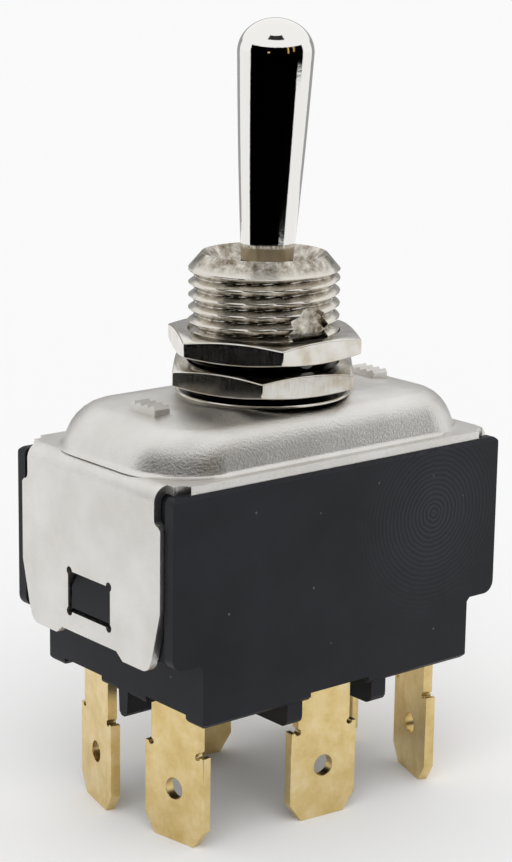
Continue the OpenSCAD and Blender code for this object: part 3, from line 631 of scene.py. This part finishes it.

# Polished nickel: a mirror with fine soft waves from the buffing wheel, 0.5 mm apart,
# which fray the edges of what it reflects. The neck is matt from 0.5 mm above the mouth down,
# and painted near black from 0.6 mm below it: painted shade for the dark inside the bore.
polished_nickel, shader = new_finish("polished_nickel", Metallic=1.0)
place = add_node(polished_nickel, "ShaderNodeTexCoord", {})
height = add_node(polished_nickel, "ShaderNodeSeparateXYZ", {"Vector": place.outputs["Object"]})
smudge = add_node(polished_nickel, "ShaderNodeTexNoise", {
    "Vector": place.outputs["Object"], "Scale": 1 / (1.1 * mm), "Detail": 5, "Roughness": 0.7})
ragged = add_node(polished_nickel, "ShaderNodeMath", {
    0: smudge.outputs["Fac"], 1: 0.2 * mm, 2: height.outputs["Z"]}, operation="MULTIPLY_ADD")
neck_mask = add_node(polished_nickel, "ShaderNodeMapRange", {
    "Value": ragged.outputs[0], "From Min": bush_high.z + 0.5 * mm, "From Max": bush_high.z + 0.65 * mm,
    "To Min": 1, "To Max": 0})
neck_tint = add_node(polished_nickel, "ShaderNodeMix", {
    "Factor": neck_mask.outputs["Result"], mix_a: linear("#EEEDEA"), mix_b: linear("#C2B59C")},
    data_type="RGBA")
# Painted shade: from 0.6 mm below the mouth the lever is painted near black (#2A2218), for the shade inside
# the bushing
below_mouth = add_node(polished_nickel, "ShaderNodeMapRange", {
    "Value": height.outputs["Z"], "From Min": bush_high.z - 0.62 * mm, "From Max": bush_high.z - 0.52 * mm,
    "To Min": 1, "To Max": 0})
shaded_stem_tint = add_node(polished_nickel, "ShaderNodeMix", {
    "Factor": below_mouth.outputs["Result"], mix_a: neck_tint.outputs[mix_out], mix_b: linear("#2A2218")},
    data_type="RGBA")
polished_nickel.node_tree.links.new(shaded_stem_tint.outputs[mix_out], shader.inputs["Base Color"])
polished_nickel.node_tree.links.new(
    add_node(polished_nickel, "ShaderNodeMapRange", {
        "Value": neck_mask.outputs["Result"], "To Min": 0.06, "To Max": 0.38}).outputs["Result"],
    shader.inputs["Roughness"])
buffing = add_node(polished_nickel, "ShaderNodeTexNoise", {
    "Vector": place.outputs["Object"], "Scale": 1 / (0.5 * mm), "Detail": 4, "Roughness": 0.65})
buffing_bump = add_node(polished_nickel, "ShaderNodeBump", {
    "Height": buffing.outputs["Fac"], "Strength": 0.35, "Distance": 0.012 * mm})
polished_nickel.node_tree.links.new(buffing_bump.outputs["Normal"], shader.inputs["Normal"])
finish_with(bat_lever, polished_nickel)

# ---------------------------------------------------------------------------
# Stage
# A pale paper floor under the blade tips, soft light from all round and one broad lamp,
# and the dark flags that a metal object is lit with, which only its shine can see.

floor_z = cad_box[0][2]
bpy.ops.object.select_all(action="DESELECT")
floor_side = 12
bpy.ops.mesh.primitive_plane_add(size=floor_side, location=(0, 0, floor_z))
floor = bpy.context.object
floor.name = "floor"
paper, shader = new_finish("white_paper", Roughness=0.9, Specular_IOR_Level=0.0)
shader.inputs["Base Color"].default_value = (0.95, 0.95, 0.95, 1)
finish_with(floor, paper)

# Flags stand on arcs round the switch: each has its arc in degrees from +X, its distance,
# its lowest and highest point in millimetres, and its colour. Three warm strips stand before them.
flags = (
    ("flag_left", 150, 162, 100, -20, 62, "#000000"),
    ("flag_front", 162, 276, 100, -38, 62, "#000000"),
    ("flag_right", 276, 300, 100, -20, 62, "#000000"),
    ("flag_side", 300, 318, 100, 5, 62, "#000000"),
    ("flag_over", 196, 266, 60, 90, 160, "#303030"),
    ("flag_back", 5, 95, 220, -30, 75, "#A0A0A0"),
    ("warm_near", 266, 270, 96, 20, 60, "#D8AC6E"),
    ("warm_right", 284, 288, 96, 30, 60, "#D8AC6E"),
    ("warm_left", 207, 213, 96, 22, 30, "#F0CC8A"),
)
flag_turn = 10
for name, start, end, distance, low, high, colour in flags:
    cloth = bpy.data.materials.new(name + "_cloth")
    cloth.use_nodes = True
    cloth.node_tree.nodes.clear()
    glow = add_node(cloth, "ShaderNodeEmission", {"Color": linear(colour), "Strength": 1.0})
    add_node(cloth, "ShaderNodeOutputMaterial", {"Surface": glow.outputs["Emission"]})
    panels = math.ceil((end - start) / flag_turn)
    panel_turn = math.radians((end - start) / panels)
    for i in range(panels):
        angle = math.radians(start) + (i + 0.5) * panel_turn
        bpy.ops.mesh.primitive_plane_add(
            size=1, location=(distance * mm * math.cos(angle), distance * mm * math.sin(angle),
                              (low + high) / 2 * mm), rotation=(math.pi / 2, 0, angle + math.pi / 2))
        flag = bpy.context.object
        flag.name = f"{name}_{i}"
        flag.scale = (2 * distance * mm * math.tan(panel_turn / 2), (high - low) * mm, 1)
        flag.data.materials.append(cloth)
        flag.visible_camera = False
        flag.visible_diffuse = False
        flag.visible_shadow = False
        flag.visible_transmission = False

bpy.ops.object.light_add(type="SUN", location=(-0.35, -0.45, 0.55))
lamp = bpy.context.object
lamp.name = "broad_lamp"
lamp.data.angle = math.radians(60)
lamp.data.energy = 1.15
lamp.rotation_euler = (-lamp.location).to_track_quat("-Z", "Y").to_euler()
lamp.visible_glossy = False

world = bpy.data.worlds.new("studio")
bpy.context.scene.world = world
world.use_nodes = True
world.node_tree.nodes.clear()
path = add_node(world, "ShaderNodeLightPath", {})
seen = add_node(world, "ShaderNodeMath", {
    0: path.outputs["Is Camera Ray"], 1: path.outputs["Is Glossy Ray"]}, operation="MAXIMUM")
seen = add_node(world, "ShaderNodeMath", {
    0: seen.outputs[0], 1: path.outputs["Is Transmission Ray"]}, operation="MAXIMUM")
fill_level = 0.75
level = add_node(world, "ShaderNodeMapRange", {
    "Value": seen.outputs[0], "To Min": fill_level, "To Max": 1.0})
sky = add_node(world, "ShaderNodeBackground", {"Color": (1, 1, 1, 1), "Strength": level.outputs["Result"]})
add_node(world, "ShaderNodeOutputWorld", {"Surface": sky.outputs["Background"]})

# Camera: three quarters from the front left, a little above the cover
camera_place = (-112.3 * mm, -135.25 * mm, 34.56 * mm)
camera_azimuth = math.radians(-39.55)
camera_elevation = math.radians(13.735)
camera_roll = math.radians(0.858)
camera_data = bpy.data.cameras.new("camera")
camera_data.lens = 95.1
camera_data.sensor_width = 36
camera_data.clip_start = 0.01
camera = bpy.data.objects.new("camera", camera_data)
bpy.context.scene.collection.objects.link(camera)
camera.matrix_world = (
    Matrix.Translation(camera_place)
    @ Matrix.Rotation(camera_azimuth, 4, "Z")
    @ Matrix.Rotation(math.pi / 2 - camera_elevation, 4, "X")
    @ Matrix.Rotation(camera_roll, 4, "Z"))
bpy.context.scene.camera = camera
bpy.context.scene.view_settings.view_transform = "Standard"

bpy.context.view_layer.update()
